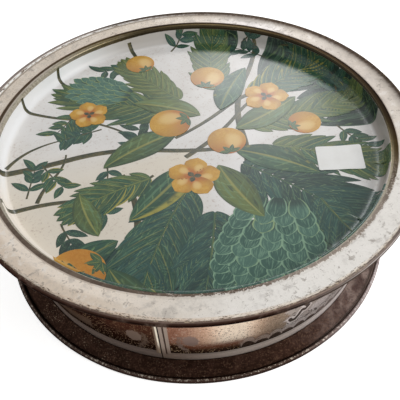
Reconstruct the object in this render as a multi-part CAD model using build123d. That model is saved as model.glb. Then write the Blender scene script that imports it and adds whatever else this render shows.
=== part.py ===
from build123d import *
import math
import os

# Round tin in drawn tinplate: a dished lid, a tapered wall and a flanged base.
# Millimetres and degrees. The origin is at the middle of the underside, +Z is up,
# and -Y faces the front, which the side seam is nearest to.

# Sheet
sheet = 0.4

# Rolled edges, each rolled shut in flats: thickness across the flats, and their count
lid_roll = 3.8
lid_roll_count = 8
base_roll = 3.1
base_roll_count = 6
mouth_roll = 2.2
mouth_roll_count = 6

# Lid
lid_radius = 127.0
band_width = 14.55  # flat band outside the ridge, with the rolled edge
ridge_width = 2.7  # from the flat band to the middle of the rolled mouth below
ridge_rise = 0.75
ridge_slope_run = 1.1
ridge_bend_radius = 0.75  # where the dish turns into the ridge, in one flat
dish_depth = 11.0
dish_bend_radius = 4.6  # where the dish turns into its floor
dish_bend_count = 3  # flats in that round corner

# Wall
mouth_height = 72.6  # middle of the rolled mouth, which the lid rests on
wall_taper = 7.2  # lean of the wall, outwards as it rises
side_seam_width = 5.0
side_seam_angle = -102.5  # seen from above, counted from +X

# Base
flange_width = 12.1  # from the wall to the edge of the base
flange_height = 5.8  # top of the flange, where the wall comes out
rib_height = 7.4  # top of the folded rib inside the wall's foot
channel_clearance = 0.05  # all round the wall's foot
ring_width = 17.0  # flat ring inside the rib
panel_lift = 1.2  # underside of the middle panel above the table
panel_step_run = 2.4

# Running fit of the lid on the wall
plug_clearance = 0.35  # between the dish and the inside of the mouth
seat_clearance = 0.3  # between the rolled mouth and the ridge above it

taper_sin = math.sin(math.radians(wall_taper))
taper_cos = math.cos(math.radians(wall_taper))
taper_tan = math.tan(math.radians(wall_taper))


def bent(points, bends):
    """The points of a line whose corners are bent, each to a radius and in a count of flats."""
    path = FilletPolyline(*points, radius=[radius for radius, count in bends])
    counts = [count for radius, count in bends if radius > 0]
    result = []
    for edge in path.order_edges():
        count = counts.pop(0) if edge.geom_type == GeomType.CIRCLE else 1
        result += [edge @ (step / count) for step in range(count)]
    return result + [path @ 1]


def thickened(points):
    """Section of a sheet, from the points of one face. The metal is on their right."""
    face_line = Wire(Polyline(*points).edges())
    return make_face(face_line.offset_2d(sheet, kind=Kind.INTERSECTION, side=Side.RIGHT))


def corner_reach(across, count):
    """Distance from the middle of a roll to its corners."""
    return across / 2 / math.cos(math.pi / count)


def roll(centre, across, count, facing):
    """Section of an edge rolled shut, with one of its flats facing this way."""
    reach = corner_reach(across, count)
    corners = []
    for step in range(count):
        angle = math.radians(facing) + math.pi * (2 * step + 1) / count
        corners.append((centre[0] + reach * math.cos(angle), centre[1] + reach * math.sin(angle)))
    return make_face(Polyline(*corners, close=True))


def turned(section, arc=360.0):
    """A solid turned about the tin's axis."""
    return revolve(Plane.XZ * section, Axis.Z, revolution_arc=arc)


mouth_radius = lid_radius - band_width - ridge_width


def wall_at(height, depth=0.0):
    """Radius at a height, this deep in the wall's sheet from its inner face."""
    from_middle = (depth - mouth_roll / 2) / taper_cos
    return mouth_radius + from_middle + (height - mouth_height) * taper_tan


def make_wall():
    """The wall's sheet: a taper from its foot to a mouth rolled outwards, and a lap seam."""
    foot = sheet + channel_clearance + sheet * taper_sin
    mouth_tangent = mouth_height + mouth_roll / 2 * taper_sin
    inner_face = [(wall_at(foot), foot), (wall_at(mouth_tangent), mouth_tangent)]
    mouth = roll((mouth_radius, mouth_height), mouth_roll, mouth_roll_count, 180 - wall_taper)
    wall = turned(thickened(inner_face) + mouth)

    # The lap is the wall's own sheet, one thickness proud of the outside
    lap_foot = flange_height + channel_clearance
    lap = make_face(
        Polyline(
            (wall_at(lap_foot, sheet / 2), lap_foot),
            (wall_at(lap_foot, 2 * sheet), lap_foot),
            (wall_at(mouth_height, 2 * sheet), mouth_height),
            (wall_at(mouth_height, sheet / 2), mouth_height),
            close=True,
        )
    )
    lap_turn = math.degrees(side_seam_width / mouth_radius)
    seam = Rot(0, 0, side_seam_angle - lap_turn / 2) * turned(lap, lap_turn)
    return wall + seam


def make_base():
    """The base's sheet: panel, ring, folded rib, channel for the wall, flange, rolled edge."""
    rib_outside = -channel_clearance
    rib_inside = rib_outside - 2 * sheet
    channel_outside = sheet + channel_clearance
    skirt_outside = channel_outside + sheet
    ring_inside = wall_at(sheet, rib_inside) - ring_width
    lip = (wall_at(flange_height, channel_outside), flange_height)
    base_radius = wall_at(flange_height, sheet) + flange_width
    roll_centre = (base_radius - base_roll / 2, corner_reach(base_roll, base_roll_count))

    # The flange slopes so that its underside runs into the bottom of the roll
    reach = math.hypot(roll_centre[0] - lip[0], lip[1] - roll_centre[1])
    to_centre = math.atan2(lip[1] - roll_centre[1], roll_centre[0] - lip[0])
    slope = to_centre + math.asin((base_roll / 2 - sheet) / reach)
    up = (math.sin(slope), math.cos(slope))
    under_end = (
        roll_centre[0] - base_roll / 2 * up[0],
        roll_centre[1] - base_roll / 2 * up[1],
    )
    top_end = (under_end[0] + sheet * up[0], under_end[1] + sheet * up[1])

    # Where the leaning skirt meets the underside of the flange
    skirt_foot = wall_at(0, skirt_outside)
    skirt_top = under_end[1] + (under_end[0] - skirt_foot) * math.tan(slope)
    skirt_top /= 1 + taper_tan * math.tan(slope)

    pan = make_face(
        Polyline(
            (0, panel_lift + sheet),
            (ring_inside - panel_step_run, panel_lift + sheet),
            (ring_inside, sheet),
            (wall_at(sheet, rib_inside), sheet),
            (wall_at(rib_height, rib_inside), rib_height),
            (wall_at(rib_height, rib_outside), rib_height),
            (wall_at(sheet, rib_outside), sheet),
            (wall_at(sheet, channel_outside), sheet),
            lip,
            top_end,
            under_end,
            (wall_at(skirt_top, skirt_outside), skirt_top),
            (skirt_foot, 0),
            (ring_inside, 0),
            (ring_inside - panel_step_run, panel_lift),
            (0, panel_lift),
            close=True,
        )
    )
    edge = roll(roll_centre, base_roll, base_roll_count, -90 - math.degrees(slope))
    return turned(pan + edge)


def make_lid():
    """The lid's sheet: dish, ridge over the rolled mouth, flat band, rolled edge."""
    crest = mouth_height + corner_reach(mouth_roll, mouth_roll_count) + seat_clearance + sheet
    floor = crest - dish_depth
    band = crest - ridge_rise

    def dish_wall(height):
        return wall_at(height, -sheet) - plug_clearance

    ridge_foot = mouth_radius + ridge_width
    roll_centre = (lid_radius - lid_roll / 2, band - lid_roll / 2)

    top_face = bent(
        [
            (0, floor),
            (dish_wall(floor), floor),
            (dish_wall(crest), crest),
            (ridge_foot - ridge_slope_run, crest),
            (ridge_foot, band),
            (roll_centre[0], band),
        ],
        [(dish_bend_radius, dish_bend_count), (ridge_bend_radius, 1), (0, 1), (0, 1)],
    )
    return turned(thickened(top_face) + roll(roll_centre, lid_roll, lid_roll_count, 90))


nodes = {
    "body_wall": make_wall(),
    "base_pan": make_base(),
    "lid": make_lid(),
}

os.makedirs("parts", exist_ok=True)
for name, solid in nodes.items():
    export_step(solid, f"parts/{name}.step")
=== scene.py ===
import math
import random

import bpy
from mathutils import Matrix, Vector


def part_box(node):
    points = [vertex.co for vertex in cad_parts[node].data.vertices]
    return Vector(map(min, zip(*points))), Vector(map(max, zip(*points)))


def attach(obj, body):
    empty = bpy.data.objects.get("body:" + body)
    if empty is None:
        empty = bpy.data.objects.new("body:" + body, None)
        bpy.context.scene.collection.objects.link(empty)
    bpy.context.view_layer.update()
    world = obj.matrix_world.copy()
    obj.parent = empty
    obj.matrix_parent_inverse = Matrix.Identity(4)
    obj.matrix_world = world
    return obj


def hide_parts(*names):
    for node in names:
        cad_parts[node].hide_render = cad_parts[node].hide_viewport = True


# A round printed tin with a lift-off dished lid. Metres, in the part's own frame.
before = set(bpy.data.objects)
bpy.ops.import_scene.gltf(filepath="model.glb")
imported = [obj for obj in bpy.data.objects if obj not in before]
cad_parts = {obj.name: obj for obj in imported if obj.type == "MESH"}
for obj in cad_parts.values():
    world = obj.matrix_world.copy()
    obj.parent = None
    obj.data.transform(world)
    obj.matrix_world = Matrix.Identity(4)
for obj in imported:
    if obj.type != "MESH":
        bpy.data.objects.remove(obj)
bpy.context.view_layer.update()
lid_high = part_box("lid")[1]
wall_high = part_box("body_wall")[1]
base_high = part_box("base_pan")[1]

MM = 0.001
SHEET = 0.4 * MM
HAIR = 0.05 * MM  # how far the sheets keep inside the solids
TURN_STEPS = 400  # straight pieces round a turned sheet
ARC_STEP = math.radians(11)  # longest piece of a bend
LONGEST_PIECE = 6 * MM  # of a straight line

# Lid. A roll is given by its radius and a curl by its degrees
LID_RADIUS = lid_high.x - HAIR
TOP = lid_high.z - HAIR
CREST = TOP - 0.25 * MM  # lower than the solid's, so the print stays below the solid's top
LID_ROLL = 1.9 * MM
LID_CURL = 305.0
BAND = TOP - 0.75 * MM
DISH_FLOOR = TOP - 11.0 * MM
DISH_BEND = 4.6 * MM
PLUG_CLEARANCE = 0.35 * MM
RIDGE_BEND = 1.2 * MM
RIDGE_FOOT = 112.45 * MM
RIDGE_SLOPE_RUN = 1.1 * MM
CREST_BEND = 0.8 * MM
PICTURE_RUN = 115.9  # where the dish's picture ends, in mm along the lid's face
PICTURE_SHIFT = 1.9  # the picture is printed this far towards the front

# Wall
TAPER = math.radians(7.2)
MOUTH_ROLL = 1.1 * MM
MOUTH_CURL = 290.0
MOUTH_RADIUS = 109.75 * MM
MOUTH_HEIGHT = wall_high.z - 1.26 * MM
SEAM_ANGLE = math.radians(-102.5)
SEAM_WIDTH = 5.0 * MM
LAP_LOW = 5.95 * MM
LAP_HIGH = 71.2 * MM

# Base
BASE_RADIUS = 112.7 * MM
BASE_ROLL = 1.6 * MM
BASE_CURL = 300.0
FLANGE_TOP = 5.8 * MM
LIP_BEND = 0.45 * MM
RIB_TOP = base_high.z - HAIR
CHANNEL_GAP = 0.05 * MM
RING_WIDTH = 17.0 * MM
PANEL_LIFT = 1.2 * MM
PANEL_STEP = 2.4 * MM


def rounded(corners):
    """Points along a line through corners of radius, height and bend."""
    points = [Vector(corners[0][:2])]
    for before, corner, after in zip(corners, corners[1:], corners[2:]):
        here = Vector(corner[:2])
        back = (Vector(before[:2]) - here).normalized()
        on = (Vector(after[:2]) - here).normalized()
        turn = math.pi - back.angle(on)
        middle = here + (back + on).normalized() * corner[2] / math.cos(turn / 2)
        start = here + back * corner[2] * math.tan(turn / 2) - middle
        sweep = math.copysign(turn, back.cross(on) * -1)
        count = max(2, math.ceil(turn / ARC_STEP))
        for step in range(count + 1):
            points.append(middle + Matrix.Rotation(sweep * step / count, 2) @ start)
    return points + [Vector(corners[-1][:2])]


def curled(middle, radius, start, turn):
    """Points along an arc, from an angle and through a turn in degrees."""
    count = math.ceil(abs(math.radians(turn)) / ARC_STEP)
    angles = [math.radians(start + turn * step / count) for step in range(count + 1)]
    return [Vector(middle) + radius * Vector((math.cos(a), math.sin(a))) for a in angles]


def divided(points):
    """The same line with its long pieces cut up."""
    result = [points[0]]
    for here, there in zip(points, points[1:]):
        count = math.ceil((there - here).length / LONGEST_PIECE)
        result += [here.lerp(there, (step + 1) / count) for step in range(count)]
    return result


def runs_along(points):
    """Distance from the first point to each one, along the line."""
    runs = [0.0]
    for here, there in zip(points, points[1:]):
        runs.append(runs[-1] + (there - here).length)
    return runs


def wall_radius(height, depth=0.0):
    """Radius of the wall at a height, this deep in its sheet from the inner face."""
    across = (depth - MOUTH_ROLL) / math.cos(TAPER)
    return MOUTH_RADIUS + across + (height - MOUTH_HEIGHT) * math.tan(TAPER)


def lid_face():
    """Top face of the lid: dish, ridge, band and the roll that curls down and in."""
    def dish_side(height):
        return wall_radius(height, -SHEET) - PLUG_CLEARANCE

    roll_middle = (LID_RADIUS - LID_ROLL, BAND - LID_ROLL)
    top = rounded([
        (0, DISH_FLOOR, 0),
        (dish_side(DISH_FLOOR), DISH_FLOOR, DISH_BEND),
        (dish_side(CREST), CREST, RIDGE_BEND),
        (RIDGE_FOOT - RIDGE_SLOPE_RUN, CREST, CREST_BEND),
        (RIDGE_FOOT, BAND, CREST_BEND),
        (roll_middle[0], BAND, 0),
    ])
    return divided(top) + curled(roll_middle, LID_ROLL, 90, -LID_CURL)[1:]


def wall_face():
    """Inner face of the wall, from its foot to the mouth that curls outwards."""
    foot = SHEET + 2 * CHANNEL_GAP
    leaving = MOUTH_HEIGHT + MOUTH_ROLL * math.sin(TAPER)
    heights = [foot, LAP_LOW, LAP_LOW + HAIR, LAP_HIGH - HAIR, LAP_HIGH, leaving]
    side = [Vector((wall_radius(height), height)) for height in heights]
    start = 180 - math.degrees(TAPER)
    return divided(side) + curled((MOUTH_RADIUS, MOUTH_HEIGHT), MOUTH_ROLL, start, -MOUTH_CURL)[1:]


def base_face():
    """Upper face of the base: panel, ring, folded rib, channel, flange, roll that curls up."""
    rib_outside = -CHANNEL_GAP
    rib_inside = rib_outside - 2 * SHEET
    channel_outside = SHEET + CHANNEL_GAP
    fold = 0.999 * SHEET
    ring_inside = wall_radius(SHEET, rib_inside) - RING_WIDTH
    lip = Vector((wall_radius(FLANGE_TOP, channel_outside), FLANGE_TOP))
    roll_middle = Vector((BASE_RADIUS - BASE_ROLL, BASE_ROLL + HAIR))
    curl = BASE_ROLL - SHEET
    to_middle = roll_middle - lip
    slope = math.atan2(-to_middle.y, to_middle.x) + math.asin(curl / to_middle.length)
    leaving = roll_middle - curl * Vector((math.sin(slope), math.cos(slope)))
    top = rounded([
        (0, PANEL_LIFT + SHEET, 0),
        (ring_inside - PANEL_STEP, PANEL_LIFT + SHEET, PANEL_STEP / 2),
        (ring_inside, SHEET, PANEL_STEP / 2),
        (wall_radius(SHEET, rib_inside), SHEET, fold),
        (wall_radius(RIB_TOP, rib_inside), RIB_TOP, fold),
        (wall_radius(RIB_TOP, rib_outside), RIB_TOP, fold),
        (wall_radius(SHEET, rib_outside), SHEET, CHANNEL_GAP),
        (wall_radius(SHEET, channel_outside), SHEET, CHANNEL_GAP),
        (lip.x, lip.y, LIP_BEND),
        (leaving.x, leaving.y, 0),
    ])
    return divided(top) + curled(roll_middle, curl, -90 - math.degrees(slope), BASE_CURL)[1:]


def behind(face):
    """The other face of the sheet. The metal is on the right of the first one."""
    result = []
    for before, here, after in zip([face[0]] + face, face, face[1:] + [face[-1]]):
        along = (after - before).normalized()
        result.append(here + SHEET * Vector((along.y, -along.x)))
    return result


def turned(name, face, uneven, material, extra_angles=()):
    """A sheet turned about the axis, its points moved by uneven(point, angle, back)."""
    back = behind(face)
    outline = [(point, run, 0.0) for point, run in zip(face, runs_along(face))]
    outline += [(point, run, 1.0) for point, run in zip(back[::-1], runs_along(face)[::-1])]
    angles = [math.tau * step / TURN_STEPS for step in range(TURN_STEPS)]
    angles = sorted(angles + [angle % math.tau for angle in extra_angles])
    places, faces, runs, backs, rings = [], [], [], [], []
    for point, run, is_back in outline:
        ring = []
        for angle in angles if point.x > HAIR else angles[:1]:
            moved = point + uneven(point, angle, is_back)
            ring.append(len(places))
            places.append((moved.x * math.cos(angle), moved.x * math.sin(angle), moved.y))
            runs.append(run / MM)
            backs.append(is_back)
        rings.append(ring)
    closed = len(rings[0]) > 1
    for inner, outer in zip(rings, rings[1:] + (rings[:1] if closed else [])):
        for step in range(len(angles)):
            after = (step + 1) % len(angles)
            corners = [inner[step % len(inner)], outer[step % len(outer)]]
            corners += [outer[after % len(outer)], inner[after % len(inner)]]
            faces.append(list(dict.fromkeys(corners)))
    return smooth_piece(name, places, faces, 50, [material], run=runs, back=backs)


def smooth_piece(name, places, faces, crease, materials, **numbers):
    """A smooth piece, sharp where it bends by more degrees than crease, with numbers on it."""
    mesh = bpy.data.meshes.new(name)
    mesh.from_pydata(places, [], faces)
    for key, values in numbers.items():
        mesh.attributes.new(key, "FLOAT", "POINT").data.foreach_set("value", values)
    mesh.shade_smooth()
    mesh.set_sharp_from_angle(angle=math.radians(crease))
    for material in materials:
        mesh.materials.append(material)
    return add(name, mesh)


def add(name, content):
    holder = bpy.data.objects.new(name, content)
    bpy.context.scene.collection.objects.link(holder)
    return holder


def ripple(angle, *waves):
    """A smooth uneven line round the tin, between 0 and 1."""
    total = sum(math.sin(count * angle + shift) for count, shift in waves)
    return 0.5 + 0.5 * total / len(waves)


def ease(value, low, high):
    t = min(max((value - low) / (high - low), 0.0), 1.0)
    return t * t * (3 - 2 * t)


def lid_uneven(point, angle, is_back):
    """The lid's own waves: a little in its floor, its band and its rolled edge."""
    floor_wave = ripple(angle, (2, 0.4), (3, 1.9)) * ease(point.x, 8 * MM, 60 * MM)
    floor_wave *= (1 - ease(point.x, 85 * MM, 101 * MM)) * 0.35 * MM
    band_wave = ripple(angle, (5, 1.0), (9, 2.2), (14, 0.3)) * ease(point.x, 113 * MM, 122 * MM)
    edge_wave = ripple(angle, (7, 0.2), (12, 2.0), (31, 1.1))
    edge_wave *= ease(point.x, 121.5 * MM, 123.2 * MM)
    return Vector((-0.1 * MM * edge_wave, floor_wave - 0.09 * MM * band_wave))


def wall_uneven(point, angle, is_back):
    """Slight dents in the wall, and its lap seam, which is one sheet proud outside."""
    dent = ripple(angle, (3, 0.7), (7, 2.6)) * ease(point.y, 8 * MM, 30 * MM)
    dent *= 1 - ease(point.y, 45 * MM, 66 * MM)
    off_seam = abs((angle - SEAM_ANGLE + math.pi) % math.tau - math.pi) * MOUTH_RADIUS
    proud = SHEET if is_back and off_seam < SEAM_WIDTH / 2 and LAP_LOW < point.y < LAP_HIGH else 0
    return Vector((proud - 0.25 * MM * dent, 0))


def base_uneven(point, angle, is_back):
    """Slight waves in the flange's edge and the middle panel."""
    edge_wave = ripple(angle, (6, 1.4), (11, 0.1), (27, 2.3)) * ease(point.x, 108.5 * MM, 110 * MM)
    panel_wave = ripple(angle, (2, 2.0), (5, 0.6)) * ease(point.x, 10 * MM, 50 * MM)
    panel_wave *= 1 - ease(point.x, 60 * MM, 78 * MM)
    return Vector((-0.1 * MM * edge_wave, 0.2 * MM * panel_wave))


class Value:
    """A number or colour that shader nodes work out."""

    def __init__(self, paint, socket):
        self.paint = paint
        self.socket = socket

    def __add__(self, other):
        return self.paint.math("ADD", self, other)

    def __sub__(self, other):
        return self.paint.math("SUBTRACT", self, other)

    def __rsub__(self, other):
        return self.paint.math("SUBTRACT", other, self)

    def __mul__(self, other):
        return self.paint.math("MULTIPLY", self, other)

    def __truediv__(self, other):
        return self.paint.math("DIVIDE", self, other)

    def __or__(self, other):
        """The larger of the two."""
        return self.paint.math("MAXIMUM", self, other)

    def __abs__(self):
        return self.paint.math("ABSOLUTE", self)

    __radd__ = __add__


def colour(digits):
    """A colour written as six hexadecimal digits, in Blender's linear values."""
    parts = [int(digits[start:start + 2], 16) / 255 for start in (0, 2, 4)]
    parts = [c / 12.92 if c < 0.04045 else ((c + 0.055) / 1.055) ** 2.4 for c in parts]
    return (*parts, 1.0)


class Formulas:
    """Shader nodes written as formulas."""

    def __init__(self, owner):
        owner.use_nodes = True
        self.tree = owner.node_tree

    def node(self, kind, **settings):
        node = self.tree.nodes.new(kind)
        for key, value in settings.items():
            setattr(node, key, value)
        return node

    def link(self, source, socket):
        """Gives a socket a formula, a colour's digits or a number."""
        if isinstance(source, Value):
            source = source.socket
        if isinstance(source, str):
            socket.default_value = colour(source)
        elif isinstance(source, bpy.types.NodeSocket):
            self.tree.links.new(source, socket)
        else:
            socket.default_value = source

    def math(self, operation, *terms, clamp=False):
        node = self.node("ShaderNodeMath", operation=operation, use_clamp=clamp)
        for term, socket in zip(terms, node.inputs):
            self.link(term, socket)
        return Value(self, node.outputs[0])

    def seen(self):
        """1 for what the camera and mirror-like faces see, 0 for what lights the tin."""
        path = self.node("ShaderNodeLightPath").outputs
        return Value(self, path["Is Camera Ray"]) | Value(self, path["Is Glossy Ray"])


class Paint(Formulas):
    """A material whose formulas read places on the tin, in millimetres and degrees."""

    def __init__(self, name):
        self.material = bpy.data.materials.new(name)
        super().__init__(self.material)
        self.shader = self.tree.nodes["Principled BSDF"]
        self.normal = None
        scaled = self.node("ShaderNodeVectorMath", operation="SCALE")
        self.link(self.node("ShaderNodeTexCoord").outputs["Object"], scaled.inputs[0])
        scaled.inputs["Scale"].default_value = 1 / MM
        self.place = Value(self, scaled.outputs[0])
        parts = self.node("ShaderNodeSeparateXYZ")
        self.link(self.place, parts.inputs[0])
        self.x, self.y, self.z = [Value(self, output) for output in parts.outputs]
        self.radius = self.math("SQRT", self.x * self.x + self.y * self.y)
        # Degrees round the tin, 0 at the front and 90 at the right
        self.turn = self.math("ARCTAN2", self.x, self.y * -1) * math.degrees(1)

    def joined(self, *parts):
        node = self.node("ShaderNodeCombineXYZ")
        for part, socket in zip(parts, node.inputs):
            self.link(part, socket)
        return Value(self, node.outputs[0])

    def attribute(self, name):
        node = self.node("ShaderNodeAttribute", attribute_name=name)
        return Value(self, node.outputs["Fac"])

    def around(self, radius, long):
        """Places for a texture drawn out round the tin, this many times longer than wide."""
        reach = radius / long
        return self.joined(
            self.x / self.radius * reach, self.y / self.radius * reach, self.radius + self.z
        )

    def noise(self, size, detail=2.0, rough=0.5, twist=0.0, place=None, seed=0.0):
        node = self.node("ShaderNodeTexNoise", noise_dimensions="4D")
        self.link(place or self.place, node.inputs["Vector"])
        for key, value in (("W", seed), ("Scale", 1 / size), ("Detail", detail),
                           ("Roughness", rough), ("Distortion", twist)):
            node.inputs[key].default_value = value
        return Value(self, node.outputs["Fac"])

    def cells(self, size, place):
        """Distance from the nearest of many scattered points, in cells of this size."""
        node = self.node("ShaderNodeTexVoronoi")
        self.link(place, node.inputs["Vector"])
        node.inputs["Scale"].default_value = 1 / size
        return Value(self, node.outputs["Distance"])

    def rise(self, value, low, high):
        """0 below low, 1 above high, smooth between. Falls where low is above high."""
        node = self.node("ShaderNodeMapRange", interpolation_type="SMOOTHSTEP")
        first, last = (0.0, 1.0) if low < high else (1.0, 0.0)
        low, high = min(low, high), max(low, high)
        for key, number in (("From Min", low), ("From Max", high),
                            ("To Min", first), ("To Max", last)):
            node.inputs[key].default_value = number
        self.link(value, node.inputs["Value"])
        return Value(self, node.outputs["Result"])

    def between(self, value, low, high, soft):
        above = self.rise(value, low - soft, low + soft)
        return above * self.rise(value, high + soft, high - soft)

    def near(self, angle, whole, end):
        """1 within this many degrees of an angle round the tin, falling to 0 at the end."""
        away = self.math("ABSOLUTE", self.math("WRAP", self.turn - angle, 180.0, -180.0))
        return self.rise(away, end, whole)

    def oval(self, turn, height, half_turn, half_height):
        """Distance from a place on the wall, 1 on an oval round it. Degrees and millimetres."""
        across = (self.turn - turn) / half_turn
        up = (self.z - height) / half_height
        return self.math("SQRT", across * across + up * up)

    def stroke(self, across, up, places):
        """Distance from a line through these places, all in millimetres."""
        nearest = None
        for (x, y), (end_x, end_y) in zip(places, places[1:]):
            run_x, run_y = end_x - x, end_y - y
            square = run_x * run_x + run_y * run_y
            along = (across - x) * (run_x / square) + (up - y) * (run_y / square)
            along = self.math("ADD", along, 0.0, clamp=True)
            off_x, off_y = across - x - along * run_x, up - y - along * run_y
            distance = self.math("SQRT", off_x * off_x + off_y * off_y)
            nearest = self.math("MINIMUM", nearest, distance) if nearest else distance
        return nearest

    def mix(self, share, first, second):
        """A colour from first to second."""
        node = self.node("ShaderNodeMix", data_type="RGBA")
        first_colour, second_colour = node.inputs[6:8]
        mixed_colour = node.outputs[2]
        self.link(share, node.inputs["Factor"])
        self.link(first, first_colour)
        self.link(second, second_colour)
        return Value(self, mixed_colour)

    def coats(self, base, *coats):
        """A base colour with coats over it, each a share and a colour."""
        for share, shade in coats:
            base = self.mix(share, base, shade)
        return base

    def blend(self, share, first, second):
        """A number from first to second."""
        return first + share * (second - first)

    def bump(self, height):
        """Raises the surface by a height in millimetres."""
        node = self.node("ShaderNodeBump")
        node.inputs["Distance"].default_value = MM
        node.inputs["Strength"].default_value = 1.0
        self.link(height, node.inputs["Height"])
        if self.normal:
            self.link(self.normal, node.inputs["Normal"])
        self.normal = Value(self, node.outputs["Normal"])

    def finished(self, base, rough, metal, **constants):
        """The material, with these on its shader."""
        self.link(base, self.shader.inputs["Base Color"])
        self.link(rough, self.shader.inputs["Roughness"])
        self.link(metal, self.shader.inputs["Metallic"])
        if self.normal:
            self.link(self.normal, self.shader.inputs["Normal"])
        for key, value in constants.items():
            self.shader.inputs[key].default_value = value
        return self.material


def printed_sheet(p, base, rough, metal, tint, bare, seed):
    """The material of a printed sheet, with plain clouded tinplate where it is bare."""
    cloud = p.noise(22, 4, 0.6, seed=seed)
    stain = p.rise(p.noise(9, 5, 0.65, 0.8, seed=seed + 1), 0.58, 0.74)
    grain = p.noise(0.8, 2, seed=seed + 2, place=p.around(100, 12))
    plain = p.mix(p.rise(cloud, 0.3, 0.7), "a9a297", "c3bcae")
    plain = p.mix(stain * 0.55, plain, "7d7061")
    plain_rough = 0.3 + cloud * 0.16 + grain * 0.1 + stain * 0.15
    return p.finished(
        p.mix(bare, base, plain), p.blend(bare, rough, plain_rough),
        p.blend(bare, metal, 0.88 - stain * 0.35), **{"Specular Tint": colour(tint)},
    )


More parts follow.
